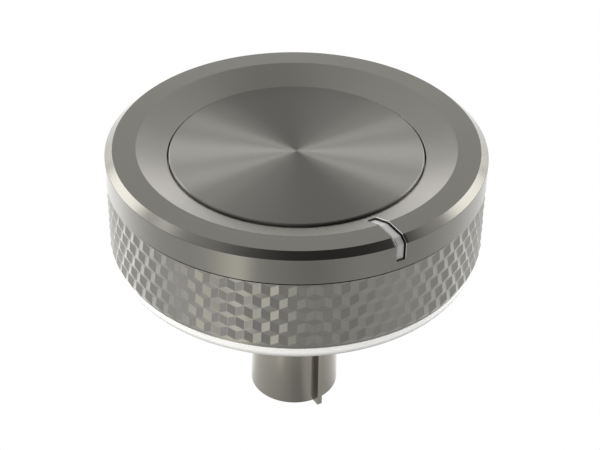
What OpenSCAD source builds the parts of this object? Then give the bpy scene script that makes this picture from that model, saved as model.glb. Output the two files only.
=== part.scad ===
// Control knob: turned cap, faceted grip sleeve, white light ring and a keyed stem for a D-shaft.
// Millimetres, +Z up. The origin is the centre of the stem's foot, at the mouth of the shaft bore.
// The pointer and the key rib lie on the -Y side.

/* [Head] */
// Outer diameter of the head, across the smooth band
head_d = 56; // [46:0.5:70]
// Height of the head, from its underside to the flat rim
head_h = 18.3; // [16:0.1:24]
// Height of the smooth band under the rim, chamfer included
band_h = 4.75; // [4:0.05:6]
// Width of the polished chamfer, seen from above
chamfer_w = 1.1; // [0.4:0.05:2]
// Height of the polished chamfer
chamfer_h = 0.85; // [0.3:0.05:1.5]
// Width of the flat rim
rim_w = 3.43; // [2:0.01:5]
// Width of the dished face, from the rim to the disc's recess
dish_w = 4.5; // [2.5:0.05:7]
// Fall of the dished face over its width
dish_drop = 1.77; // [0.8:0.01:2.4]
// Thickness of the cap under the disc
cap_floor_t = 4; // [3:0.1:5]
// Wall of the cap's spigot, which carries the sleeve outside and the light ring inside
spigot_t = 2; // [1.2:0.1:3]

/* [Centre disc] */
// Gap round the brushed disc
disc_gap = 0.25; // [0.1:0.01:0.6]
// Thickness of the disc
disc_t = 1.2; // [0.8:0.1:1.6]
// Height of the disc's face above the inner edge of the dished face
disc_rise = 0.3; // [0:0.02:0.6]
// Chamfer on the disc's edge
disc_chamfer = 0.15; // [0.05:0.05:0.4]
// Thickness of the adhesive pad under the disc
pad_t = 0.2; // [0.1:0.05:0.5]
// How far the pad's edge stays inside the disc's edge
pad_inset = 1; // [0.5:0.1:4]

/* [Pointer] */
// Width of the pointer's slot
pointer_w = 1.5; // [1:0.1:3]
// Distance of the slot from the disc's recess, along the radius
pointer_margin = 1.4; // [0.8:0.1:2.2]
// How far the slot runs down from the rim
pointer_drop = 3.4; // [2:0.1:3.8]
// Depth of the slot below the cap's surface
slot_depth = 1.5; // [1:0.1:1.8]
// How far the insert's face lies below the cap's surface
pointer_recess = 0.3; // [0.2:0.05:0.8]
// Clearance of the insert in its slot, on each side
pointer_gap = 0.18; // [0.05:0.01:0.3]

/* [Grip] */
// Number of facet cells round the grip
grip_cells = 72; // [48:1:90]
// Height of the facets, from pit to peak
facet_depth = 0.4; // [0.2:0.05:0.8]
// How far the facet peaks stay inside the smooth band
facet_inset = 0; // [0:0.05:0.5]
// How far the plain core of the sleeve lies below the pits
core_inset = 0.2; // [0.1:0.05:0.5]
// Height of the dark groove between the band and the grip
groove_h = 0.3; // [0.1:0.05:0.6]
// Height of the plain strip under the facets
strip_h = 0.8; // [0.4:0.1:2]
// Wall of the sleeve, from its bore to the pits
sleeve_t = 2; // [1.2:0.1:3]

/* [Light ring] */
// How far the ring's edge stays inside the smooth band
ring_inset = 0.9; // [0.4:0.1:2]
// Height of the ring that shows under the sleeve
ring_h = 1.9; // [1:0.1:3]
// Rounding of the ring's lower edge
ring_round = 0.6; // [0.2:0.1:0.9]
// Gap between the ring and the stem
stem_gap = 0.2; // [0.1:0.05:0.8]

/* [Stem] */
// Diameter of the stem
stem_d = 13.7; // [11.5:0.1:16]
// Length of the stem below the head
stem_reach = 26.3; // [18:0.1:40]
// Chamfer on the stem's foot
foot_chamfer = 0.3; // [0.1:0.05:0.8]
// Width of the key rib
rib_w = 0.8; // [0.5:0.1:2]
// How far the key rib stands out from the stem
rib_h = 1.3; // [0.5:0.05:2]
// Chamfer on the rib's lower corner
rib_chamfer = 0.1; // [0.05:0.05:0.5]
// Thickness of the hub's plate, which is screwed under the cap
plate_t = 4.2; // [3.6:0.1:5]

/* [Shaft] */
// Diameter of the D-shaft
shaft_d = 8; // [7:0.5:9]
// Distance from the shaft's axis to its flat
shaft_flat = 2.5; // [2:0.1:3]
// Clearance all round the shaft
shaft_gap = 0.1; // [0.05:0.01:0.2]
// Depth of the round lead-in at the mouth
lead_in = 4; // [3:0.5:5]
// How much wider the lead-in is than the bore, all round
lead_gap = 0.2; // [0.2:0.05:0.4]
// Depth of the whole bore
bore_depth = 22; // [18:0.5:26]
// Width of the leaf spring
spring_w = 3.4; // [2:0.1:4]
// Length of the leaf spring
spring_l = 12; // [8:0.5:12]
// Thickness of the leaf spring
spring_t = 0.4; // [0.2:0.05:0.6]
// How far the spring bows past the flat of the bore
spring_bow = 0.2; // [0.1:0.05:0.4]
// Depth of the spring's pocket behind the flat
pocket_depth = 0.9; // [0.7:0.05:1.2]

/* [Screws] */
// Number of hub screws
screw_count = 3; // [2:1:6]
// Thread diameter of the hub screws
screw_d = 3; // [2:0.5:4]
// Diameter of the screw heads
screw_head_d = 5.5; // [4.6:0.1:7]
// Height of the screw heads
screw_head_h = 2; // [1.2:0.1:2.4]
// Radius of the circle on which the screws lie
screw_circle_r = 13.5; // [12:0.5:14]

/* [Fits] */
// Clearance between pieces that are pressed or bonded together
fit_gap = 0.05; // [0.02:0.01:0.1]
// Clearance of a screw in the hub's plate
screw_gap = 0.2; // [0.1:0.05:0.4]
// Metal left between a screw's tip and the recess of the disc
blind_t = 0.8; // [0.5:0.1:1.2]

/* [Hidden] */
$fn = 96;

// Room that a cut runs past the surface it opens
over = 1;

// Colours
gunmetal = [0.44, 0.43, 0.40];
brushed = [0.52, 0.51, 0.48];
opal = [0.93, 0.94, 0.94];
pale_grey = [0.75, 0.74, 0.75];
steel = [0.62, 0.63, 0.64];
adhesive = [0.20, 0.20, 0.20];

// Heights, from the foot up
under_z = stem_reach;
ring_top_z = under_z + ring_h;
rim_z = under_z + head_h;
shoulder_z = rim_z - band_h;
dish_z = rim_z - dish_drop;
disc_top_z = dish_z + disc_rise;
disc_low_z = disc_top_z - disc_t;
pad_low_z = disc_low_z - pad_t;
floor_z = pad_low_z - cap_floor_t;
plate_z = floor_z - plate_t;
screw_seat_z = plate_z + screw_head_h + screw_gap;
screw_hole_z = pad_low_z - blind_t;

// Radii, from the band inwards
head_r = head_d / 2;
rim_r = head_r - chamfer_w;
dish_r = rim_r - rim_w;
recess_r = dish_r - dish_w;
disc_r = recess_r - disc_gap;
peak_r = head_r - facet_inset;
pit_r = peak_r - facet_depth;
core_r = pit_r - core_inset;
sleeve_bore_r = pit_r - sleeve_t;
spigot_r = sleeve_bore_r - fit_gap;
socket_r = spigot_r - spigot_t;
socket_fit_r = socket_r - fit_gap;
ring_r = head_r - ring_inset;
stem_r = stem_d / 2;
ring_hole_r = stem_r + stem_gap;
bore_r = shaft_d / 2 + shaft_gap;
lead_r = bore_r + lead_gap;

// Distances from the axis to the bore's flat and to the floor of the spring's pocket
flat_y = shaft_flat + shaft_gap;
pocket_y = flat_y + pocket_depth;
spring_z = (lead_in + bore_depth - spring_l) / 2;
spring_points = 12;

// Facets: rows of near-regular hexagons fill the grip, and a hexagon's side is two half steps high
grip_top_z = shoulder_z - groove_h;
grip_low_z = ring_top_z + strip_h;
cell_w = 2 * PI * peak_r / grip_cells;
grip_rows = round((grip_top_z - grip_low_z) / (cell_w * sin(60)));
half_steps = 3 * grip_rows;
half_step_h = (grip_top_z - grip_low_z) / half_steps;
columns = 2 * grip_cells;

// Fall below the peaks, in halves of facet_depth, at the corners down a ridge and down a valley
ridge_falls = [1, 0, 2];
valley_falls = [2, 1, 0];

// The cap's surface in (radius, height), from a radius on the dished face to a drop below the rim
function pointer_path(start_r, drop) = [
    [start_r, rim_z - dish_drop * (dish_r - start_r) / dish_w],
    [dish_r, rim_z],
    [rim_r, rim_z],
    [head_r, rim_z - chamfer_h],
    [head_r, rim_z - drop]];

// Unit normal on the left of the way from a to b
function left_normal(a, b) = let (d = b - a) [-d[1], d[0]] / norm(d);

// An open path moved to its right by a distance, with its corners mitred
function moved_right(path, distance) = let (last = len(path) - 1) [
    for (i = [0 : last])
        let (
            before = left_normal(path[max(i - 1, 0)], path[max(i, 1)]),
            after = left_normal(path[min(i, last - 1)], path[min(i + 1, last)]))
        path[i] - distance * (before + after) / (1 + before * after)];

function reversed(list) = [for (i = [len(list) - 1 : -1 : 0]) list[i]];

// Outline of a layer that follows a path, between two depths under it
function layer(path, near, far) = concat(moved_right(path, near), reversed(moved_right(path, far)));

// A slab that stands on the -Y side, from an outline in (radius, height)
module radial_slab(outline, width) {
    rotate([0, 0, -90]) rotate([90, 0, 0]) linear_extrude(width, center = true) polygon(outline);
}

// A cylinder between two heights
module rod(r, low, high) {
    translate([0, 0, low]) cylinder(r = r, h = high - low);
}

// Repeats its children on the screw circle, from the side away from the pointer
module at_screws() {
    for (i = [0 : screw_count - 1])
        rotate([0, 0, 90 + 360 * i / screw_count]) translate([screw_circle_r, 0, 0]) children();
}

module top_cap() {
    spigot_low_z = ring_top_z + fit_gap;
    path = pointer_path(recess_r + pointer_margin, pointer_drop);
    color(gunmetal) difference() {
        rotate_extrude() polygon([
            [0, pad_low_z], [recess_r, pad_low_z], [recess_r, dish_z], [dish_r, rim_z], [rim_r, rim_z],
            [head_r, rim_z - chamfer_h], [head_r, shoulder_z], [spigot_r, shoulder_z],
            [spigot_r, spigot_low_z], [socket_r, spigot_low_z], [socket_r, floor_z], [0, floor_z]]);
        radial_slab(layer(path, -over, slot_depth), pointer_w);
        at_screws() rod(screw_d / 2 + fit_gap, floor_z - over, screw_hole_z);
    }
}

module centre_disc() {
    color(brushed) rotate_extrude() polygon([
        [0, disc_low_z], [disc_r, disc_low_z], [disc_r, disc_top_z - disc_chamfer],
        [disc_r - disc_chamfer, disc_top_z], [0, disc_top_z]]);
}

module disc_pad() {
    color(adhesive) rod(disc_r - pad_inset, pad_low_z, disc_low_z);
}

module pointer_insert() {
    path = pointer_path(recess_r + pointer_margin + fit_gap, pointer_drop - fit_gap);
    color(pale_grey) radial_slab(layer(path, pointer_recess, slot_depth), pointer_w - 2 * pointer_gap);
}

// Fall of the facets below their peaks, at a column and a half step. Both ends are cut at half depth.
function facet_fall(column, step) = facet_depth / 2 * (
    step == 0 || step == half_steps ? 1 :
    column % 2 == 0 ? ridge_falls[floor(step / 2) % 3] : valley_falls[floor(step / 2) % 3]);

function corner(column, step) = let (
    r = peak_r - facet_fall(column, step),
    a = 360 * column / columns - 90)
    [r * cos(a), r * sin(a), grip_top_z - step * half_step_h];

// Number of a corner in the list of points
function place(column, step) = column % columns * (half_steps + 1) + step;

// Triangles between a ridge column and the valley column on one side of it.
// Ridges have corners at even half steps, valleys at odd ones, and both at the two ends.
function facets(ridge, side) = let (
    valley = ridge + side + columns,
    odd_end = half_steps % 2 == 1,
    ridge_steps = concat([for (i = [0 : 2 : half_steps]) i], odd_end ? [half_steps] : []),
    valley_steps = concat([0], [for (i = [1 : 2 : half_steps]) i], odd_end ? [] : [half_steps]),
    on_ridge = [for (i = [0 : len(ridge_steps) - 2]) let (top = ridge_steps[i])
        [place(ridge, top), place(valley, top + 1), place(ridge, ridge_steps[i + 1])]],
    on_valley = [for (i = [0 : len(valley_steps) - 2]) let (top = valley_steps[i])
        [place(valley, top), place(valley, valley_steps[i + 1]), place(ridge, top == 0 ? 0 : top + 1)]])
    [for (triangle = concat(on_ridge, on_valley)) side > 0 ? triangle : reversed(triangle)];

// A solid band whose side is a net of shallow cube corners, with a ridge on the -Y side
module facet_band() {
    polyhedron(
        points = [for (c = [0 : columns - 1]) for (i = [0 : half_steps]) corner(c, i)],
        faces = concat(
            [[for (c = [columns - 1 : -1 : 0]) place(c, 0)]],
            [[for (c = [0 : columns - 1]) place(c, half_steps)]],
            [for (c = [0 : 2 : columns - 2]) for (side = [-1, 1]) each facets(c, side)]));
}

module grip_sleeve() {
    color(gunmetal) difference() {
        union() {
            rod(core_r, ring_top_z, shoulder_z);
            facet_band();
        }
        rod(sleeve_bore_r, ring_top_z - over, shoulder_z + over);
    }
}

module light_ring() {
    color(opal) rotate_extrude() {
        translate([ring_r - ring_round, under_z + ring_round]) circle(ring_round);
        polygon([
            [ring_hole_r, under_z], [ring_r - ring_round, under_z], [ring_r - ring_round, under_z + ring_round],
            [ring_r, under_z + ring_round], [ring_r, ring_top_z], [socket_fit_r, ring_top_z],
            [socket_fit_r, plate_z], [ring_hole_r, plate_z]]);
    }
}

// The D-shaped bore with its wider, round lead-in
module shaft_bore() {
    rod(lead_r, -over, lead_in);
    difference() {
        rod(bore_r, 0, bore_depth);
        translate([-bore_r, -flat_y - bore_r, 0]) cube([2 * bore_r, bore_r, bore_depth]);
    }
}

module spring_pocket() {
    w = spring_w + 2 * fit_gap;
    translate([-w / 2, -pocket_y, spring_z - fit_gap]) cube([w, pocket_depth + fit_gap, spring_l + 2 * fit_gap]);
}

module key_rib() {
    out_r = stem_r + rib_h;
    radial_slab([
        [lead_r + rib_h, 0], [out_r - rib_chamfer, 0], [out_r, rib_chamfer],
        [out_r, under_z - stem_gap], [lead_r + rib_h, under_z - stem_gap]], rib_w);
}

module stem_hub() {
    color(gunmetal) difference() {
        union() {
            rotate_extrude() polygon([
                [0, 0], [stem_r - foot_chamfer, 0], [stem_r, foot_chamfer], [stem_r, plate_z],
                [socket_fit_r, plate_z], [socket_fit_r, floor_z], [0, floor_z]]);
            key_rib();
        }
        shaft_bore();
        spring_pocket();
        at_screws() {
            rod(screw_head_d / 2 + screw_gap, plate_z - over, screw_seat_z);
            rod(screw_d / 2 + screw_gap, plate_z, floor_z + over);
        }
    }
}

module shaft_spring() {
    rise = pocket_depth - spring_t + spring_bow;
    back = [for (i = [0 : spring_points])
        [pocket_y - rise * sin(180 * i / spring_points), spring_z + spring_l * i / spring_points]];
    front = [for (point = back) point - [spring_t, 0]];
    color(steel) radial_slab(concat(back, reversed(front)), spring_w);
}

module hub_screws() {
    recess_w = screw_d / 5;
    color(steel) at_screws() difference() {
        union() {
            rod(screw_head_d / 2, screw_seat_z - screw_head_h, screw_seat_z);
            rod(screw_d / 2, screw_seat_z - fit_gap, screw_hole_z - fit_gap);
        }
        for (turn = [0, 90])
            rotate([0, 0, turn])
                translate([-screw_d / 2, -recess_w / 2, screw_seat_z - screw_head_h - over])
                    cube([screw_d, recess_w, screw_head_h / 2 + over]);
    }
}

top_cap();
centre_disc();
disc_pad();
pointer_insert();
grip_sleeve();
light_ring();
stem_hub();
shaft_spring();
hub_screws();
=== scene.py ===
import math

import bmesh
import bpy
import numpy as np
from mathutils import Matrix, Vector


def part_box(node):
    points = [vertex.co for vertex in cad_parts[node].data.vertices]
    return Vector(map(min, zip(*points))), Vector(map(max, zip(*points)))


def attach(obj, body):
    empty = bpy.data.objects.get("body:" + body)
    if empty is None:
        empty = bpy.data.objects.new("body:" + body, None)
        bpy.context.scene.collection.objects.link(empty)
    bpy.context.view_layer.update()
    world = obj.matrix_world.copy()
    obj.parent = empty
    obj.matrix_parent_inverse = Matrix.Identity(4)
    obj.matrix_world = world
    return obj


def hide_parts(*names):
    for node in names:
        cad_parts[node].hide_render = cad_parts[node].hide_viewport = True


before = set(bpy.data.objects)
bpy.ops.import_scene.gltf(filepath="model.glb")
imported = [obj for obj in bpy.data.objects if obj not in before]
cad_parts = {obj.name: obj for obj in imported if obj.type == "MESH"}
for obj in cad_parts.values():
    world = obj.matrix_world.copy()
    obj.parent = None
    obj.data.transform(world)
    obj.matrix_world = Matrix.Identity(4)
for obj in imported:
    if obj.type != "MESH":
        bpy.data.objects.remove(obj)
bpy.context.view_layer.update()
mm = 0.001  # shapes are worked out in millimetres and put into the meshes in metres
cutOver = 1.0  # how far a cutter runs past the face that it opens


# Lowest and highest corner of a node, in millimetres
def nodeBox(node):
    low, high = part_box(node)
    return np.array(low) / mm, np.array(high) / mm


capLow, capHigh = nodeBox("top_cap")
discLow, discHigh = nodeBox("centre_disc")
padLow = nodeBox("disc_pad")[0]
gripLow, gripHigh = nodeBox("grip_sleeve")
ringLow, ringHigh = nodeBox("light_ring")
hubHigh = nodeBox("stem_hub")[1]
springLow, springHigh = nodeBox("shaft_spring")
screwLow = nodeBox("hub_screws")[0]

headR = capHigh[0]
rimZ = capHigh[2]
shoulderZ = gripHigh[2]  # the cap's lower face, on the sleeve
ringTopZ = gripLow[2]
underZ = ringLow[2]  # the head's underside
plateZ = ringHigh[2]  # the lower face of the hub's plate
floorZ = hubHigh[2]  # the plate's upper face, under the cap
socketFitR = hubHigh[0]
fitGap = capLow[2] - ringTopZ  # clearance of the pressed pieces
print("frame loaded, head", round(2 * headR, 2), "mm across")


# Shapes

# An outline of (radius, height) corners with an arc of the given radius in each, tangent to both sides.
# The third column says where a point lies on the plain outline: the corner's number, plus or minus
# a share of a side.
def rounded(corners, radii, steps=5):
    points = np.array(corners, float)
    rows = []
    for i, radius in enumerate(radii):
        if radius == 0:
            rows.append(np.array([[*points[i], i]]))
            continue
        before, after = points[i - 1] - points[i], points[i + 1] - points[i]
        sideA, sideB = np.linalg.norm(before), np.linalg.norm(after)
        a, b = before / sideA, after / sideB
        half = math.acos(np.clip(a @ b, -1, 1)) / 2
        reach = radius / math.tan(half)
        middle = points[i] + (a + b) / np.linalg.norm(a + b) * radius / math.sin(half)
        fromA, fromB = points[i] + a * reach - middle, points[i] + b * reach - middle
        turn = math.pi - 2 * half
        share = np.linspace(0, 1, steps + 1)[:, None]
        arc = middle + (np.sin((1 - share) * turn) * fromA + np.sin(share * turn) * fromB) / math.sin(turn)
        rows.append(np.hstack([arc, i - reach / sideA * (1 - share) + reach / sideB * share]))
    return np.vstack(rows)


# A full turn round Z: x = r sin(a), y = -r cos(a), with a from the pointer's side, a may differ row by row
def turned(radius, height, angles):
    radius, height = np.asarray(radius)[:, None], np.asarray(height)[:, None]
    angles = np.broadcast_to(angles, (len(radius), np.shape(angles)[-1]))
    return np.stack([radius * np.sin(angles), -radius * np.cos(angles), height + 0 * angles], -1)


# Even angles round a full turn
def fullTurn(columns):
    return 2 * math.pi * np.arange(columns) / columns


# Corners of each cell of a grid whose points are numbered row by row
def cells(rows, columns, wrapRows=False, wrapColumns=True):
    i = np.arange(rows if wrapRows else rows - 1)[:, None]
    j = np.arange(columns if wrapColumns else columns - 1)[None, :]
    i2, j2 = (i + 1) % rows, (j + 1) % columns
    return np.stack([i * columns + j, i2 * columns + j, i2 * columns + j2, i * columns + j2], -1)


# A surface of revolution as (points, faces)
def lathe(outline, columns, closed=False):
    grid = turned(outline[:, 0], outline[:, 1], fullTurn(columns))
    return grid.reshape(-1, 3), cells(len(outline), columns, wrapRows=closed).reshape(-1, 4)


# A flat outline in (x, y) carried straight up between heights, as points, faces and the rings of its ends
def prism(outline, heights):
    outline = np.asarray(outline, float)
    count, levels = len(outline), len(heights)
    flat = np.broadcast_to(outline, (levels, count, 2))
    up = np.broadcast_to(np.asarray(heights, float)[:, None, None], (levels, count, 1))
    points = np.concatenate([flat, up], -1).reshape(-1, 3)
    ends = [np.arange(count), (levels - 1) * count + np.arange(count)]
    return points, cells(levels, count).reshape(-1, 4), ends


# A mesh from parts of (points, faces, smooth), with a flat face over each ring of points in ends
def meshObject(name, parts, ends=(), mergeAt=0.0005):
    points = np.vstack([p for p, f, s in parts]) * mm
    starts = np.cumsum([0] + [len(p) for p, f, s in parts])
    faces = [(f + start).tolist() for (p, f, s), start in zip(parts, starts)]
    smooth = np.concatenate([np.full(len(f), s) for p, f, s in parts] + [np.zeros(len(ends), bool)])
    mesh = bpy.data.meshes.new(name)
    mesh.from_pydata(points, [], sum(faces, []) + [list(map(int, end)) for end in ends])
    mesh.polygons.foreach_set("use_smooth", smooth)
    work = bmesh.new()
    work.from_mesh(mesh)
    bmesh.ops.remove_doubles(work, verts=work.verts, dist=mergeAt * mm)  # closes seams and poles
    bmesh.ops.recalc_face_normals(work, faces=work.faces)
    work.to_mesh(mesh)
    work.free()
    piece = bpy.data.objects.new(name, mesh)
    bpy.context.collection.objects.link(piece)
    return piece


# Rounds the edges that turn by more than an angle in degrees
def softEdges(piece, width, angle, segments=2):
    edge = piece.modifiers.new("softEdges", "BEVEL")
    edge.width = width * mm
    edge.segments = segments
    edge.limit_method = "ANGLE"
    edge.angle_limit = math.radians(angle)
    edge.miter_outer = "MITER_ARC"


# Keeps large faces flat next to their rounded edges, and true corners sharp
def flatNormals(piece, sharpFrom=50):
    piece.data.set_sharp_from_angle(angle=math.radians(sharpFrom))
    weighted = piece.modifiers.new("flatNormals", "WEIGHTED_NORMAL")
    weighted.mode = "FACE_AREA"
    weighted.keep_sharp = True


# Works the modifiers into the mesh, with cutters taken away from it or added to it
def carve(piece, takeAway=(), add=(), mergeAt=0.001):
    for operation, tools in (("UNION", add), ("DIFFERENCE", takeAway)):
        for tool in tools:
            cut = piece.modifiers.new(operation.lower(), "BOOLEAN")
            cut.operation = operation
            cut.solver = "EXACT"
            cut.object = tool
    shaped = piece.evaluated_get(bpy.context.evaluated_depsgraph_get())
    old = piece.data
    piece.data = bpy.data.meshes.new_from_object(shaped)
    piece.modifiers.clear()
    bpy.data.meshes.remove(old)
    for tool in (*takeAway, *add):
        bpy.data.meshes.remove(tool.data)
    work = bmesh.new()
    work.from_mesh(piece.data)
    bmesh.ops.remove_doubles(work, verts=work.verts, dist=mergeAt * mm)
    bmesh.ops.dissolve_degenerate(work, edges=work.edges, dist=mergeAt * mm)
    work.to_mesh(piece.data)
    work.free()


# Gives a finished piece its material and puts it in the place of its solid
def settle(piece, node, material):
    piece.data.materials.clear()
    piece.data.materials.append(material)
    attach(piece, "root")
    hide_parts(node)
    print("made", piece.name, "with", len(piece.data.polygons), "faces before its modifiers")


# Materials

# A new material with its node tree and its shader
def newTree(name):
    material = bpy.data.materials.new(name)
    material.use_nodes = True
    tree = material.node_tree
    return material, tree, tree.nodes["Principled BSDF"]


# Adds a node, with its inputs given by name, or by number as i0, i1 and so on
def addNode(tree, kind, settings=None, **inputs):
    node = tree.nodes.new(kind)
    for key, value in (settings or {}).items():
        setattr(node, key, value)
    for key, value in inputs.items():
        socket = node.inputs[int(key[1:]) if key[0] == "i" and key[1:].isdigit() else key]
        if isinstance(value, bpy.types.NodeSocket):
            tree.links.new(value, socket)
        else:
            socket.default_value = value
    return node


def maths(tree, operation, a, b=0.0):
    return addNode(tree, "ShaderNodeMath", {"operation": operation}, i0=a, i1=b).outputs[0]


# A number worked out from vectors, such as a length or a dot product
def vectorMaths(tree, operation, a, b=(0, 0, 0)):
    return addNode(tree, "ShaderNodeVectorMath", {"operation": operation}, i0=a, i1=b).outputs["Value"]


def scaledColour(tree, colour, share):
    return addNode(tree, "ShaderNodeVectorMath", {"operation": "SCALE"}, i0=colour, Scale=share).outputs[0]


def mixedColour(tree, share, a, b):
    return addNode(tree, "ShaderNodeMix", {"data_type": "RGBA"}, i0=share, i6=a, i7=b).outputs[2]


# A value carried from one range to another, with soft ends unless said otherwise
def ranged(tree, value, span, result, way="SMOOTHSTEP"):
    return addNode(tree, "ShaderNodeMapRange", {"interpolation_type": way}, i0=value,
                   i1=span[0], i2=span[1], i3=result[0], i4=result[1]).outputs[0]


# Fills a colour ramp from (place, tone) pairs, a tone being one number or three
def fillRamp(ramp, stops):
    while len(ramp.elements) < len(stops):
        ramp.elements.new(0.5)
    for element, (place, tone) in zip(ramp.elements, stops):
        element.position = place
        element.color = (*np.broadcast_to(tone, 3), 1)


# A value less a share of it, and with that share added
def spread(value, share):
    return value * (1 - share), value * (1 + share)


# Radius from the axis, height, and the way along a turned outline, all in millimetres
def turnedPlace(tree):
    spot = addNode(tree, "ShaderNodeTexCoord").outputs["Object"]
    split = addNode(tree, "ShaderNodeSeparateXYZ", i0=spot)
    flat = addNode(tree, "ShaderNodeCombineXYZ", i0=split.outputs[0], i1=split.outputs[1])
    radius = maths(tree, "MULTIPLY", vectorMaths(tree, "LENGTH", flat.outputs[0]), 1 / mm)
    height = maths(tree, "MULTIPLY", split.outputs[2], 1 / mm)
    return spot, radius, height, maths(tree, "SUBTRACT", radius, height)


# One on the cut edges of the pointer's slot, where the metal is bare: |x| just outside the slot,
# from its inner end down to its lower end
def slotEdgeMask(tree, spot, radius, height, look):
    split = addNode(tree, "ShaderNodeSeparateXYZ", i0=spot)
    aside = maths(tree, "ABSOLUTE", split.outputs[0])
    inner, outer = look["edgeSpan"]
    mask = maths(tree, "MULTIPLY", maths(tree, "GREATER_THAN", aside, inner * mm),
                 maths(tree, "LESS_THAN", aside, outer * mm))
    mask = maths(tree, "MULTIPLY", mask, maths(tree, "LESS_THAN", split.outputs[1], 0.0))
    mask = maths(tree, "MULTIPLY", mask, maths(tree, "GREATER_THAN", radius, look["edgeFromR"]))
    return maths(tree, "MULTIPLY", mask, maths(tree, "GREATER_THAN", height, look["edgeFromZ"]))


# The fine marks that the finishes share: detail of the noise, its span from dark to pale, depth in
# millimetres, and by what share a mark changes the roughness or the tint
marks = {
    "detail": 2.0, "tintSpan": (0.3, 0.7),
    "lineDetail": 3.0, "lineSpan": (0.25, 0.75), "lineRoughness": 0.015, "lineDepth": 0.01,
    "cloudTint": 0.03, "grainRoughness": 0.15, "grainDepth": 0.02,
}


# A colour that wanders between two shades over the piece
def wanderingTint(tree, spot, scale, dark, pale):
    noise = addNode(tree, "ShaderNodeTexNoise", Vector=spot, Scale=scale, Detail=marks["detail"])
    tint = addNode(tree, "ShaderNodeValToRGB", Fac=noise.outputs["Fac"])
    fillRamp(tint.color_ramp, list(zip(marks["tintSpan"], (dark, pale))))
    return tint.outputs["Color"]


# Fine marks as bump, with their depth in millimetres
def addBump(tree, shader, height, strength, depth):
    bump = addNode(tree, "ShaderNodeBump", Strength=strength, Distance=depth * mm, Height=height)
    tree.links.new(bump.outputs["Normal"], shader.inputs["Normal"])


# A gunmetal finish: tint that wanders a little, roughness in fine turned lines, the same lines as bump
def turnedMetal(name, look):
    material, tree, shader = newTree(name)
    spot, radius, height, along = turnedPlace(tree)
    colour = wanderingTint(tree, spot, look["driftScale"], *spread(np.array(look["colour"]), look["drift"]))
    lines = addNode(tree, "ShaderNodeTexNoise", {"noise_dimensions": "1D"}, W=along,
                    Scale=look["linesPerMm"], Detail=marks["lineDetail"]).outputs["Fac"]
    roughSpan = spread(look["roughness"], marks["lineRoughness"])
    rough = ranged(tree, lines, marks["lineSpan"], roughSpan, "LINEAR")
    if "polished" in look:  # the chamfer: outside the rim's radius and above the band's top
        outside = maths(tree, "GREATER_THAN", radius, look["polishedFromR"])
        above = maths(tree, "GREATER_THAN", height, look["polishedFromZ"])
        polish = maths(tree, "MULTIPLY", outside, above)
        rough = addNode(tree, "ShaderNodeMix", i0=polish, i2=rough, i3=look["polished"]).outputs[0]
        inDish = maths(tree, "LESS_THAN", radius, look["paleToR"])  # the dish is turned paler than the rim
        colour = scaledColour(tree, colour, ranged(tree, inDish, (0.0, 1.0), (1.0, look["pale"]), "LINEAR"))
        bare = slotEdgeMask(tree, spot, radius, height, look)
        colour = mixedColour(tree, bare, colour, (*look["bare"], 1))
    tree.links.new(colour, shader.inputs["Base Color"])
    tree.links.new(rough, shader.inputs["Roughness"])
    addBump(tree, shader, lines, look["bump"], marks["lineDepth"])
    shader.inputs["Metallic"].default_value = 1.0
    if look["stretch"]:
        shader.inputs["Anisotropic"].default_value = look["stretch"]
        shader.inputs["Anisotropic Rotation"].default_value = 0.25  # a quarter turn
        around = addNode(tree, "ShaderNodeTangent", {"direction_type": "RADIAL", "axis": "Z"})
        tree.links.new(around.outputs[0], shader.inputs["Tangent"])
    return material


# A moulded plastic: soft glow from below its skin, faint cloudiness, a fine moulded grain, and where asked a
# painted shade towards its lower edge
def mouldedPlastic(name, look):
    material, tree, shader = newTree(name)
    spot = addNode(tree, "ShaderNodeTexCoord").outputs["Object"]
    pale = np.array(look["colour"])
    colour = wanderingTint(tree, spot, look["cloudScale"], pale * (1 - marks["cloudTint"]), pale)
    if "paintedShadeEdge" in look:  # painted shade: the colour grows darker towards the lower edge, which faces the shaded floor
        height = addNode(tree, "ShaderNodeSeparateXYZ", i0=spot).outputs[2]
        share = ranged(tree, height, (look["paintedShadeFromZ"] * mm, look["paintedShadeToZ"] * mm), (look["paintedShadeEdge"], 1.0))
        colour = scaledColour(tree, colour, share)
    tree.links.new(colour, shader.inputs["Base Color"])
    grain = addNode(tree, "ShaderNodeTexNoise", Vector=spot, Scale=look["grainScale"],
                    Detail=marks["detail"]).outputs["Fac"]
    roughSpan = spread(look["roughness"], marks["grainRoughness"])
    tree.links.new(ranged(tree, grain, (0.0, 1.0), roughSpan, "LINEAR"), shader.inputs["Roughness"])
    addBump(tree, shader, grain, look["bump"], marks["grainDepth"])
    shader.inputs["Subsurface Weight"].default_value = look["glow"]
    shader.inputs["Subsurface Radius"].default_value = (1.0, 1.0, 1.0)
    shader.inputs["Subsurface Scale"].default_value = look["glowDepth"] * mm
    return material


# Top cap: a turned shell with the pointer's slot in it

cap = {
    "rimWidth": 3.43, "dishWidth": 4.5, "dishDrop": 1.77, "chamferWidth": 1.1, "chamferHeight": 0.85,
    "spigotWall": 2.0, "columns": 360, "axisShare": 0.3,
    "edge": 0.06, "bandEdge": 0.12, "shoulderEdge": 0.03, "slotEdge": 0.09, "slotEdgeAngle": 65.0,
    "slotWidth": 1.5, "slotMargin": 1.4, "slotDrop": 3.4, "slotDepth": 1.5,
    "slotColumns": 4, "slotLayers": 4,
    "screwHole": 3.1, "screwCircle": 13.5, "screwCount": 3, "screwBlind": 0.8, "screwColumns": 48,
    "polishOutside": 0.03, "polishAbove": 0.02,  # where the polish starts, from the rim and from the band
    "bareFrom": 0.01, "bareShare": 0.97,  # the bare metal beside the slot, up to a share of its edge
    "finish": {"colour": (0.158, 0.154, 0.140), "drift": 0.03, "driftScale": 60.0, "linesPerMm": 9.0,
               "roughness": 0.27, "bump": 0.004, "stretch": 0.55, "polished": 0.23,
               "bare": (0.31, 0.305, 0.305), "pale": 1.16},
}
rimR = headR - cap["chamferWidth"]
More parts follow.
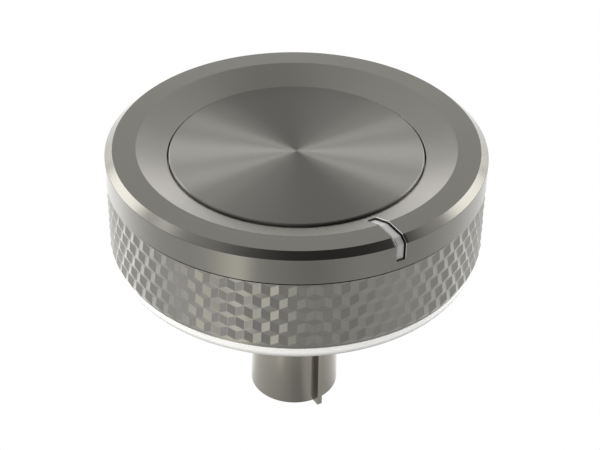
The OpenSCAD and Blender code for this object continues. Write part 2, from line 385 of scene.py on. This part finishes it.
dishR = rimR - cap["rimWidth"]
recessR = dishR - cap["dishWidth"]
dishZ = rimZ - cap["dishDrop"]
bandTopZ = rimZ - cap["chamferHeight"]
slotR = recessR + cap["slotMargin"]
halfSlot = cap["slotWidth"] / 2
spigotR = socketFitR + fitGap + cap["spigotWall"]


# The stretch of the cap's outline that the slot follows, from a radius on the dish to a drop below the rim
def slotCorners(startR, drop):
    fall = cap["dishDrop"] * (dishR - startR) / cap["dishWidth"]
    return [(startR, rimZ - fall), (dishR, rimZ), (rimR, rimZ), (headR, bandTopZ), (headR, rimZ - drop)]


# For each corner of that stretch, the step into the metal that moves both its sides in by one millimetre
def inwardSteps(corners):
    points = np.array(corners)
    along = np.diff(points, axis=0)
    normals = np.stack([-along[:, 1], along[:, 0]], 1) / np.linalg.norm(along, axis=1)[:, None]
    before, after = np.vstack([normals[:1], normals]), np.vstack([normals, normals[-1:]])
    return -(before + after) / (1 + (before * after).sum(1))[:, None]


# Points of the stretch at sideways places x and depths d below the surface:
# (r, z) = outline + d * inward step, then y = -sqrt(r^2 - x^2)
def slotPoints(rows, steps, x, depth):
    share = np.clip(rows[:, 2], 0, len(steps) - 1)
    inward = np.stack([np.interp(share, np.arange(len(steps)), steps[:, k]) for k in (0, 1)], 1)
    r = rows[:, 0, None] + depth * inward[:, 0, None]
    z = rows[:, 1, None] + depth * inward[:, 1, None]
    x = np.broadcast_to(x, r.shape[:1] + np.shape(x)[-1:])
    return np.stack(np.broadcast_arrays(x, -np.sqrt(r * r - x * x), z), -1)


# The outline turned round Z and left open along the slot, with the slot's lining sewn in
def makeCap():
    edge = cap["edge"]
    path = slotCorners(slotR, cap["slotDrop"])
    corners = [(0, padLow[2]), (recessR, padLow[2]), (recessR, dishZ), *path, (headR, shoulderZ),
               (spigotR, shoulderZ), (spigotR, capLow[2]), (socketFitR + fitGap, capLow[2]),
               (socketFitR + fitGap, floorZ), (0, floorZ)]
    radii = [0, 0, edge, 0, edge, edge, cap["bandEdge"], 0, cap["shoulderEdge"], 0, edge, edge, 0, 0]
    outline = rounded(corners, radii)
    r, z, at = outline.T
    first, last = 3, 7  # corners of the outline at the slot's two ends
    # columns: across the slot at even x, or over a share of the radius near the axis, then evenly round
    nearAxis, tiny = cap["axisShare"], 1e-9
    width = np.minimum(halfSlot, nearAxis * r)
    opening = np.where(r > 0, np.arcsin(width / np.maximum(r, tiny)), nearAxis)
    across = np.arcsin(np.sin(opening)[:, None] * np.linspace(-1, 1, cap["slotColumns"] + 1))
    share = np.arange(1, cap["columns"]) / cap["columns"]
    around = opening[:, None] + (2 * math.pi - 2 * opening[:, None]) * share
    grid = turned(r, z, np.hstack([across, around]))
    faces = cells(*grid.shape[:2])
    inSlot = (at >= first) & (at <= last)
    rowOpen = inSlot[:-1] & inSlot[1:]
    closedRows, openRows = faces[~rowOpen], faces[rowOpen][:, cap["slotColumns"]:]
    faces = np.vstack([closedRows.reshape(-1, 4), openRows.reshape(-1, 4)])
    # lining: both walls and the floor along the slot, then its two ends
    rows = np.c_[r, z, at - first][inSlot]
    steps = inwardSteps(path)
    depths = np.linspace(0, cap["slotDepth"], cap["slotLayers"] + 1)
    xs = np.linspace(-halfSlot, halfSlot, cap["slotColumns"] + 1)
    loopX = np.concatenate([np.full(len(depths) - 1, -halfSlot), xs, np.full(len(depths) - 1, halfSlot)])
    loopD = np.concatenate([depths[:-1], np.full(len(xs), cap["slotDepth"]), depths[-2::-1]])
    lining = slotPoints(rows, steps, loopX, loopD)
    parts = [(grid.reshape(-1, 3), faces, True),
             (lining.reshape(-1, 3), cells(*lining.shape[:2], wrapColumns=False).reshape(-1, 4), True)]
    for row in (rows[:1], rows[-1:]):
        wall = slotPoints(np.repeat(row, len(depths), 0), steps, xs, depths[:, None])
        parts.append((wall.reshape(-1, 3), cells(*wall.shape[:2], wrapColumns=False).reshape(-1, 4), True))
    return meshObject("topCap", parts)


# Plain cylinders between two heights, spaced evenly on the screws' circle
def screwCutters(diameter, low, high):
    ring = np.array([(0, low), (diameter / 2, low), (diameter / 2, high), (0, high)])
    points, faces = lathe(ring, cap["screwColumns"])
    turns = math.pi / 2 + 2 * math.pi * np.arange(cap["screwCount"]) / cap["screwCount"]
    places = cap["screwCircle"] * np.stack([np.cos(turns), np.sin(turns), 0 * turns], 1)
    return [meshObject("cutter", [(points + place, faces, True)]) for place in places]


finish = dict(cap["finish"], paleToR=dishR,
              polishedFromR=rimR + cap["polishOutside"], polishedFromZ=bandTopZ + cap["polishAbove"],
              edgeSpan=(halfSlot + cap["bareFrom"], halfSlot + cap["bareShare"] * cap["slotEdge"]),
              edgeFromR=slotR - cap["slotEdge"], edgeFromZ=rimZ - cap["slotDrop"])
topCap = makeCap()
softEdges(topCap, cap["slotEdge"], cap["slotEdgeAngle"])
carve(topCap, takeAway=screwCutters(cap["screwHole"], floorZ - cutOver, padLow[2] - cap["screwBlind"]))
flatNormals(topCap)
settle(topCap, "top_cap", turnedMetal("turnedGunmetal", finish))


# Centre disc: a flat turned blank with a fine chamfer

disc = {
    "chamfer": 0.15, "edge": 0.02, "edgeSteps": 3, "rings": 12, "columns": 256,
    "finish": {"colour": (0.176, 0.172, 0.158), "drift": 0.02, "driftScale": 40.0, "linesPerMm": 14.0,
               "roughness": 0.42, "bump": 0.1, "stretch": 1.0},
}


# The chamfered outline turned round Z, with even rings over its face
def makeDisc():
    r, low, high = discHigh[0], discLow[2], discHigh[2]
    cut, edge = disc["chamfer"], disc["edge"]
    rings = np.linspace(0, r, disc["rings"])[1:-1]
    corners = [(0, low), (r, low), (r, high - cut), (r - cut, high), (0, high)]
    face = rounded(corners, [0, edge, edge, edge, 0], disc["edgeSteps"])
    inner = np.stack([rings[::-1], np.full(len(rings), high), np.zeros(len(rings))], 1)
    outline = np.vstack([face[:-1], inner, face[-1:]])
    return meshObject("centreDisc", [(*lathe(outline, disc["columns"]), True)])


centreDisc = makeDisc()
flatNormals(centreDisc)
settle(centreDisc, "centre_disc", turnedMetal("spunGunmetal", disc["finish"]))


# Pointer: a bar that follows the slot's floor over the dish, rim, chamfer and band

pointer = {
    "recess": 0.3, "sideGap": 0.18, "faceBend": 0.5, "backBend": 0.1, "columns": 4,
    "edge": 0.06, "edgeAngle": 60.0,
    "finish": {"colour": (0.405, 0.4, 0.402), "cloudScale": 900.0, "grainScale": 6000.0, "roughness": 0.5,
               "bump": 0.15, "glow": 0.25, "glowDepth": 0.6},
}


# The bar lies between two outlines, the slot's path moved in by the recess and by the slot's depth.
# Across it x runs evenly, and y = -sqrt(r^2 - x^2).
def makePointer():
    half = halfSlot - pointer["sideGap"]
    path = slotCorners(slotR + fitGap, cap["slotDrop"] - fitGap)
    steps = inwardSteps(path)
    face, back = [np.array(path) + depth * steps for depth in (pointer["recess"], cap["slotDepth"])]
    bends = zip((face, back), (pointer["faceBend"], pointer["backBend"]))
    rows = np.stack([rounded(outline, [0, bend, bend, bend, 0]) for outline, bend in bends])
    xs = np.linspace(-half, half, pointer["columns"] + 1)
    x = np.concatenate([xs, xs[::-1]])
    r, z = [np.repeat(rows[:, :, k], len(xs), 0).T for k in (0, 1)]
    bar = np.stack(np.broadcast_arrays(x, -np.sqrt(r * r - x * x), z), -1)
    count = bar.shape[1]
    ends = [np.arange(count), (bar.shape[0] - 1) * count + np.arange(count)]
    faces = cells(*bar.shape[:2]).reshape(-1, 4)
    return meshObject("pointerBar", [(bar.reshape(-1, 3), faces, True)], ends)


pointerBar = makePointer()
softEdges(pointerBar, pointer["edge"], pointer["edgeAngle"])
carve(pointerBar)
flatNormals(pointerBar)
settle(pointerBar, "pointer_insert", mouldedPlastic("paleInsert", pointer["finish"]))


# Grip sleeve: a net of shallow cube corners between two plain strips

grip = {
    "cells": 72, "depth": 0.4, "grooveHeight": 0.3, "stripHeight": 0.8, "coreInset": 0.2, "wall": 2.0,
    "grooveDepth": 1.1, "edge": 0.07, "edgeAngle": 8.0, "flatAngle": 1.0,
    # halves of the depth, down a ridge and down a valley
    "ridgeFalls": (1, 0, 2), "valleyFalls": (2, 1, 0),
    "finish": {"colour": (0.185, 0.181, 0.166), "drift": 0.04, "driftScale": 80.0, "linesPerMm": 7.0,
               "roughness": 0.27, "bump": 0.005, "stretch": 0.0},
}


# A net with r = peak - fall at each column and step, and plain rings that close it below, inside and above
def makeGrip():
    columns = 2 * grip["cells"]
    top, low = shoulderZ - grip["grooveHeight"], ringTopZ + grip["stripHeight"]
    peakR = gripHigh[0]
    pitR = peakR - grip["depth"]
    coreR, boreR = pitR - grip["coreInset"], pitR - grip["wall"]
    # a row is as high as a cell is wide, times sin 60, and takes three half steps
    cellWidth = 2 * math.pi * peakR / grip["cells"]
    halfSteps = 3 * round((top - low) / (cellWidth * math.sin(math.pi / 3)))
    # falls: ridges on even columns, with corners on even steps, and valleys on odd ones
    step = np.arange(halfSteps + 1)
    falls = np.where(np.arange(columns)[None, :] % 2 == 0,
                     np.take(grip["ridgeFalls"], step // 2 % 3)[:, None],
                     np.take(grip["valleyFalls"], step // 2 % 3)[:, None])
    falls[[0, -1]] = 1  # both ends are cut at half depth
    z = top - (top - low) * step / halfSteps
    angles = fullTurn(columns)
    r = peakR - grip["depth"] / 2 * falls
    net = np.stack([r * np.sin(angles), -r * np.cos(angles), z[:, None] + 0 * r], -1)
    # triangles between each ridge and the valleys on both sides, with corners at every second step
    ridgeSteps = np.unique(np.append(np.arange(0, halfSteps + 1, 2), halfSteps))
    valleySteps = np.unique(np.append(np.append(0, np.arange(1, halfSteps + 1, 2)), halfSteps))
    ridge = np.arange(0, columns, 2)

    def number(row, column):
        return row * columns + column % columns

    triangles = []
    for side in (1, -1):
        onRidge = np.stack([number(ridgeSteps[:-1, None], ridge), number(ridgeSteps[1:, None], ridge),
                            number(ridgeSteps[:-1, None] + 1, ridge + side)], -1)
        facing = np.where(valleySteps[:-1] == 0, 0, valleySteps[:-1] + 1)
        onValley = np.stack([number(valleySteps[:-1, None], ridge + side), number(facing[:, None], ridge),
                             number(valleySteps[1:, None], ridge + side)], -1)
        triangles += [onRidge.reshape(-1, 3), onValley.reshape(-1, 3)]
    # plain rings: down from the net's foot, through the bore and back to the net's head
    grooveR, middleR = peakR - grip["grooveDepth"], pitR + grip["depth"] / 2
    plain = np.array([(middleR, low), (coreR, low), (coreR, ringTopZ), (boreR, ringTopZ),
                      (boreR, shoulderZ), (grooveR, shoulderZ), (grooveR, top), (middleR, top)])
    netPart = (net.reshape(-1, 3), np.vstack(triangles), True)
    piece = meshObject("gripSleeve", [netPart, (*lathe(plain, columns), True)])
    work = bmesh.new()
    work.from_mesh(piece.data)
    bmesh.ops.delete(work, geom=[v for v in work.verts if not v.link_faces], context="VERTS")
    flat = math.radians(grip["flatAngle"])  # triangles that lie flat together become one facet
    bmesh.ops.dissolve_limit(work, angle_limit=flat, verts=work.verts, edges=work.edges)
    work.to_mesh(piece.data)
    work.free()
    return piece


gripSleeve = makeGrip()
softEdges(gripSleeve, grip["edge"], grip["edgeAngle"])
carve(gripSleeve)
flatNormals(gripSleeve)
settle(gripSleeve, "grip_sleeve", turnedMetal("facetedGunmetal", grip["finish"]))


# Light ring: a white moulding that shows under the sleeve

lightRing = {
    # painted shade on the lower edge: the colour falls to the finish's last share at the edge and comes back
    # to full over the given height
    "round": 0.6, "edge": 0.12, "edgeSteps": 8, "holeR": 7.05, "columns": 288, "paintedShadeHeight": 1.0,
    "finish": {"colour": (0.92, 0.915, 0.895), "cloudScale": 300.0, "grainScale": 4000.0, "roughness": 0.4,
               "bump": 0.1, "glow": 0.3, "glowDepth": 0.5, "paintedShadeEdge": 0.2},
}


# A stepped outline turned round Z and closed on itself
def makeRing():
    r, holeR, edge = ringHigh[0], lightRing["holeR"], lightRing["edge"]
    corners = [(holeR, (underZ + plateZ) / 2), (holeR, underZ), (r, underZ), (r, ringTopZ),
               (socketFitR, ringTopZ), (socketFitR, plateZ), (holeR, plateZ)]
    outline = rounded(corners, [0, edge, lightRing["round"], edge, 0, edge, 0], lightRing["edgeSteps"])
    return meshObject("glowRing", [(*lathe(outline, lightRing["columns"], closed=True), True)])


glowRing = makeRing()
flatNormals(glowRing)
# painted shade: darker towards the ring's lower edge, from the underside up over the given height
finish = dict(lightRing["finish"], paintedShadeFromZ=underZ, paintedShadeToZ=underZ + lightRing["paintedShadeHeight"])
settle(glowRing, "light_ring", mouldedPlastic("opalWhite", finish))


# Stem: turned hub with a key rib, a D-bore, the spring's pocket and seats for three screws

stem = {
    "r": 6.85, "footEdge": 0.3, "plateEdge": 0.1, "columns": 192, "sharpFrom": 30.0,
    "ribWidth": 0.8, "ribHeight": 1.3, "ribCorner": 0.1, "ribTopGap": 0.2,
    "ribEdge": 0.06, "ribEdgeAngle": 30.0,
    "boreR": 4.1, "boreDepth": 22.0, "flat": 2.6, "borePoints": 73,
    "leadR": 4.3, "leadIn": 4.0, "leadColumns": 96,
    "pocketDepth": 0.9, "pocketOver": 0.1, "screwSeat": 5.9, "screwHead": 2.0, "screwWay": 3.4,
    "finish": {"colour": (0.29, 0.275, 0.24), "drift": 0.03, "driftScale": 70.0, "linesPerMm": 6.0,
               "roughness": 0.2, "bump": 0.008, "stretch": 0.0},
}


# The hub's outline turned round Z, with the rib added and the bores and seats cut out
def makeStem():
    r, plateEdge = stem["r"], stem["plateEdge"]
    corners = [(0, 0), (r, 0), (r, plateZ), (socketFitR, plateZ), (socketFitR, floorZ), (0, floorZ)]
    outline = rounded(corners, [0, stem["footEdge"], 0, plateEdge, plateEdge, 0])
    piece = meshObject("keyedStem", [(*lathe(outline, stem["columns"]), True)])
    # rib: an upright slab whose lower outer corner is cut off
    leadR, leadIn, halfRib = stem["leadR"], stem["leadIn"], stem["ribWidth"] / 2
    inR, outR = leadR + stem["ribHeight"], r + stem["ribHeight"]
    cut, top = stem["ribCorner"], underZ - stem["ribTopGap"]
    side = np.array([(-inR, 0), (-outR + cut, 0), (-outR, cut), (-outR, top), (-inR, top)])
    slab = np.stack([np.column_stack([np.full(len(side), x), side]) for x in (-halfRib, halfRib)])
    count = len(side)
    rib = meshObject("rib", [(slab.reshape(-1, 3), cells(2, count).reshape(-1, 4), False)],
                     [np.arange(count), count + np.arange(count)])
    softEdges(rib, stem["ribEdge"], stem["ribEdgeAngle"])
    # D-bore: an arc of the bore's circle closed by the flat
    flatTurn = math.acos(stem["flat"] / stem["boreR"])
    arc = np.linspace(flatTurn, 2 * math.pi - flatTurn, stem["borePoints"])
    dShape = stem["boreR"] * np.stack([np.sin(arc), -np.cos(arc)], 1)
    bore = prism(dShape, (-cutOver, stem["boreDepth"]))
    leadOutline = np.array([(0, -cutOver), (leadR, -cutOver), (leadR, leadIn), (0, leadIn)])
    lead = lathe(leadOutline, stem["leadColumns"])
    # pocket: a box behind the flat, as wide and high as the spring with some room
    wide = springHigh[0] + fitGap
    mouth, deep = stem["flat"] - stem["pocketOver"], stem["flat"] + stem["pocketDepth"]
    pocket = prism([(-wide, -deep), (wide, -deep), (wide, -mouth), (-wide, -mouth)],
                   (springLow[2] - fitGap, springHigh[2] + fitGap))
    seatZ = screwLow[2] + stem["screwHead"]
    tools = [meshObject("cutter", [(*lead, True)]),
             meshObject("cutter", [(*bore[:2], True)], bore[2]),
             meshObject("cutter", [(*pocket[:2], False)], pocket[2]),
             *screwCutters(stem["screwSeat"], plateZ - cutOver, seatZ),
             *screwCutters(stem["screwWay"], plateZ, floorZ + cutOver)]
    carve(piece, takeAway=tools, add=[rib])
    return piece


keyedStem = makeStem()
flatNormals(keyedStem, stem["sharpFrom"])
settle(keyedStem, "stem_hub", turnedMetal("stemGunmetal", stem["finish"]))


# Pieces inside the head keep their own solids, with finishes of their own

inside = {
    "shaft_spring": {"colour": (0.45, 0.45, 0.44), "drift": 0.05, "driftScale": 200.0, "linesPerMm": 10.0,
                     "roughness": 0.25, "bump": 0.1, "stretch": 0.0},
    "hub_screws": {"colour": (0.42, 0.42, 0.41), "drift": 0.08, "driftScale": 300.0, "linesPerMm": 5.0,
                   "roughness": 0.32, "bump": 0.2, "stretch": 0.0},
}
padFinish = {"colour": (0.035, 0.035, 0.035), "cloudScale": 300.0, "grainScale": 2500.0, "roughness": 0.85,
             "bump": 0.5, "glow": 0.0, "glowDepth": 0.1}


# A finish on a solid of the frame
def dressNode(node, material):
    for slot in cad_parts[node].material_slots:
        slot.material = material


for node, finish in inside.items():
    dressNode(node, turnedMetal(node, finish))
dressNode("disc_pad", mouldedPlastic("foamPad", padFinish))
print("inner pieces dressed")


# Stage, light and camera

# the camera's turn from the pointer's side, rise and roll in degrees, lengths in millimetres
view = {"turn": -30.8, "rise": 35.25, "roll": -0.814, "distance": 242.3, "aimSide": 0.64, "aimZ": 29.81,
        "lens": 96.06, "sensor": 36.0, "clipStart": 10.0}
studio = {
    "floorR": 3000.0, "floorMiddleR": 300.0, "floorColumns": 64,
    # what the metal mirrors of the floor, by heading in degrees from straight before the knob, to the right:
    # under the head, round it, and where from the axis the one goes over into the other. These are painted
    # light: the low tones under the head are its painted shadow, the low tones straight ahead a painted dark
    # streak, and the high ones round it, as from -30 to -25, painted pools of light
    "under": ((-180, 1.6), (-135, 1.95), (-85, 1.05), (-50, 0.84), (-20, 0.66), (0, 0.46), (12, 0.42),
              (24, 0.74), (60, 0.72), (90, 1.05), (150, 1.75), (180, 1.6)),
    "round": ((-180, 2.2), (-130, 1.75), (-110, 2.2), (-75, 1.3), (-55, 1.2), (-42, 1.42),
              (-30, (2.4, 2.35, 2.18)), (-25, (2.35, 2.3, 2.13)), (-20, 1.1), (0, 0.85), (10, 0.75),
              (35, 1.12), (65, 1.05), (105, 1.6), (130, 1.42), (180, 2.2)),
    "underEdge": (11.0, 31.0),
    "panelDistance": 520.0, "panelColour": (1.0, 0.985, 0.955),
    # the world from its near side to its far side, and its brightness where the ramp is 1
    "sky": ((-0.95, 0.6), (-0.40, 0.16), (-0.05, 0.47), (0.30, 0.54), (0.86, 0.48), (1.0, 0.55)),
    "skyRise": 5.0, "skyTop": 2.1,
    # low glow on the far side
    "farTone": 1.4, "farColour": (1.0, 0.985, 0.95), "farAhead": (0.55, 0.92), "farRise": (0.12, 0.52),
    # dark card above the camera
    "flagTurn": 142.0, "flagRise": 60.0, "flagShade": 0.86, "flagEdge": (0.62, 0.97),
}
# light panels: turn from straight behind the knob, rise, size, and brightness on the left and on the right
panels = {
    "side": {"turn": 60.0, "rise": 27.0, "width": 240.0, "height": 235.0, "left": 4.6, "right": 4.2},
    "inner": {"turn": 35.0, "rise": 18.0, "width": 165.0, "height": 128.0, "left": 6.0, "right": 6.0},
    "upper": {"turn": 82.0, "rise": 46.0, "width": 130.0, "height": 110.0, "left": 2.3, "right": 0.8},
}


# Unit vector that points away from the camera's side, turned to the right by an angle and raised by another
def farDirection(turn, rise):
    a, e = math.radians(view["turn"] + 180 - turn), math.radians(rise)
    return np.array([math.sin(a) * math.cos(e), -math.cos(a) * math.cos(e), math.sin(e)])


# Tone by heading from the knob: the ramp runs once round, from straight behind it
def headingTone(tree, heading, stops):
    share = ranged(tree, heading, (-math.pi, math.pi), (0.0, 1.0), "LINEAR")
    ramp = addNode(tree, "ShaderNodeValToRGB", Fac=share)
    fillRamp(ramp.color_ramp, [(0.5 + turn / 360, tone) for turn, tone in stops])
    return ramp.outputs["Color"]


# A floor that is plain white to the camera. What the metal mirrors of it changes with the heading
# and with the distance from the axis, as painted light: a painted shadow under the head and painted pools
# of light round it.
def makeFloor():
    ring = np.array([(0, 0), (studio["floorMiddleR"], 0), (studio["floorR"], 0)])
    floor = meshObject("floor", [(*lathe(ring, studio["floorColumns"]), False)])
    material, tree, shader = newTree("paleFloor")
    tree.nodes.remove(shader)
    spot = addNode(tree, "ShaderNodeTexCoord").outputs["Object"]
    across, ahead = [vectorMaths(tree, "DOT_PRODUCT", spot, farDirection(turn, 0)) for turn in (90, 180)]
    heading = maths(tree, "ARCTAN2", across, ahead)
    away = ranged(tree, vectorMaths(tree, "LENGTH", spot), np.array(studio["underEdge"]) * mm, (0.0, 1.0))
    tones = [headingTone(tree, heading, studio[place]) for place in ("under", "round")]
    mirrored = mixedColour(tree, away, *tones)
    seen = addNode(tree, "ShaderNodeLightPath").outputs["Is Camera Ray"]
    glow = addNode(tree, "ShaderNodeEmission", Color=mixedColour(tree, seen, mirrored, (1, 1, 1, 1)))
    tree.links.new(glow.outputs[0], tree.nodes["Material Output"].inputs["Surface"])
    floor.data.materials.append(material)


# Places an object so that its -Z looks along a direction, with a roll about it
def aimed(thing, place, forward, roll=0.0):
    right = np.cross(forward, (0, 0, 1))
    right /= np.linalg.norm(right)
    up = np.cross(right, forward)
    c, s = math.cos(roll), math.sin(roll)
    x, y = c * right - s * up, s * right + c * up
    matrix = np.eye(4)
    matrix[:3] = np.stack([x, y, -np.asarray(forward), np.asarray(place) * mm], 1)
    thing.matrix_world = Matrix(matrix)


# An area light turned to the knob, with the power that makes its face as bright as the tone says
def makePanel(name, way, panel, tone):
    light = bpy.data.lights.new(name, "AREA")
    light.shape = "RECTANGLE"
    light.size, light.size_y = panel["width"] * mm, panel["height"] * mm
    light.energy = tone * math.pi * light.size * light.size_y
    light.color = studio["panelColour"]
    lamp = bpy.data.objects.new(name, light)
    bpy.context.collection.objects.link(lamp)
    outward = farDirection(way * panel["turn"], panel["rise"])
    aimed(lamp, outward * studio["panelDistance"] + (0, 0, rimZ), -outward)
    lamp.visible_camera = False


# Three panels on each side: a large one, a small one further in and lower, and one further out and higher
def makePanels():
    for side, way in (("left", -1), ("right", 1)):
        for kind, panel in panels.items():
            makePanel(side + kind.title(), way, panel, panel[side])


# The world's light by how far a direction leans to the far side, with a dark card and a low far glow
def makeSky():
    world = bpy.data.worlds.new("studio")
    world.use_nodes = True
    bpy.context.scene.world = world
    tree = world.node_tree
    way = addNode(tree, "ShaderNodeTexCoord").outputs["Generated"]
    toward = vectorMaths(tree, "DOT_PRODUCT", way, farDirection(0, studio["skyRise"]))
    ramp = addNode(tree, "ShaderNodeValToRGB", Fac=ranged(tree, toward, (-1.0, 1.0), (0.0, 1.0), "LINEAR"))
    ramp.color_ramp.interpolation = "EASE"
    fillRamp(ramp.color_ramp, [((place + 1) / 2, tone) for place, tone in studio["sky"]])
    flag = vectorMaths(tree, "DOT_PRODUCT", way, farDirection(studio["flagTurn"], studio["flagRise"]))
    top = studio["skyTop"]
    light = ranged(tree, flag, studio["flagEdge"], (top, top * (1 - studio["flagShade"])))
    background = tree.nodes["Background"]
    tree.links.new(ramp.outputs["Color"], background.inputs["Color"])
    tree.links.new(light, background.inputs["Strength"])
    height = addNode(tree, "ShaderNodeSeparateXYZ", i0=way).outputs[2]
    low = ranged(tree, height, studio["farRise"], (studio["farTone"], 0.0))
    ahead = ranged(tree, toward, studio["farAhead"], (0.0, 1.0))
    farGlow = addNode(tree, "ShaderNodeBackground", Color=(*studio["farColour"], 1),
                      Strength=maths(tree, "MULTIPLY", low, ahead))
    both = addNode(tree, "ShaderNodeAddShader", i0=background.outputs[0], i1=farGlow.outputs[0])
    tree.links.new(both.outputs[0], tree.nodes["World Output"].inputs["Surface"])


# The camera looks from its turn and rise at a point beside the axis
def makeCamera():
    lensData = bpy.data.cameras.new("camera")
    lensData.lens = view["lens"]
    lensData.sensor_width = view["sensor"]
    lensData.clip_start = view["clipStart"] * mm
    camera = bpy.data.objects.new("camera", lensData)
    bpy.context.collection.objects.link(camera)
    back = farDirection(180, view["rise"])
    aim = view["aimSide"] * farDirection(90, 0) + (0, 0, view["aimZ"])
    aimed(camera, aim + view["distance"] * back, -back, math.radians(view["roll"]))
    bpy.context.scene.camera = camera


makeFloor()
makePanels()
makeSky()
makeCamera()
bpy.context.scene.view_settings.view_transform = "Standard"
print("stage, light and camera set")
